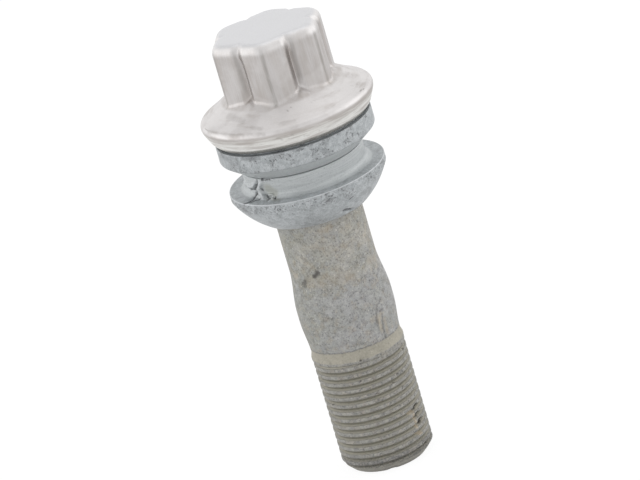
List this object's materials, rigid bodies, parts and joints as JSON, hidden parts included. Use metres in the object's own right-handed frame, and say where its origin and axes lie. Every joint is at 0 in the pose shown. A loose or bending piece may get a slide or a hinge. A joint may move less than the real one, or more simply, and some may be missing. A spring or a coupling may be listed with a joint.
{
  "type": "wheel bolt",
  "caption": "Long wheel bolt with a threaded end, a centring barrel, a turning ball-seat ring and a bright fluted cap crimped over its flanged hexagon head.",
  "frame": {"origin": "centre of the flat end face at the thread's end", "axes": "+Z along the bolt's axis from the thread to the head; +X through the middle of one lobe of the head"},
  "size_m": [0.0276, 0.0276, 0.074],
  "materials": {
    "coated_steel": "matte grey-beige zinc coating, olive on the thread",
    "zinc_steel": "blue-grey zinc, speckled",
    "bright_cap": "satin stainless, deep-drawn"
  },
  "bodies": {
    "bolt": {"bolt": "coated_steel", "head_cap": "bright_cap"},
    "ring": {"seat_ring": "zinc_steel"}
  },
  "joints": [
    {"name": "ring_turn", "type": "hinge", "parent": "bolt", "child": "ring", "pos_m": [0, 0, 0.0483], "axis": [0, 0, 1], "continuous": true}
  ]
}
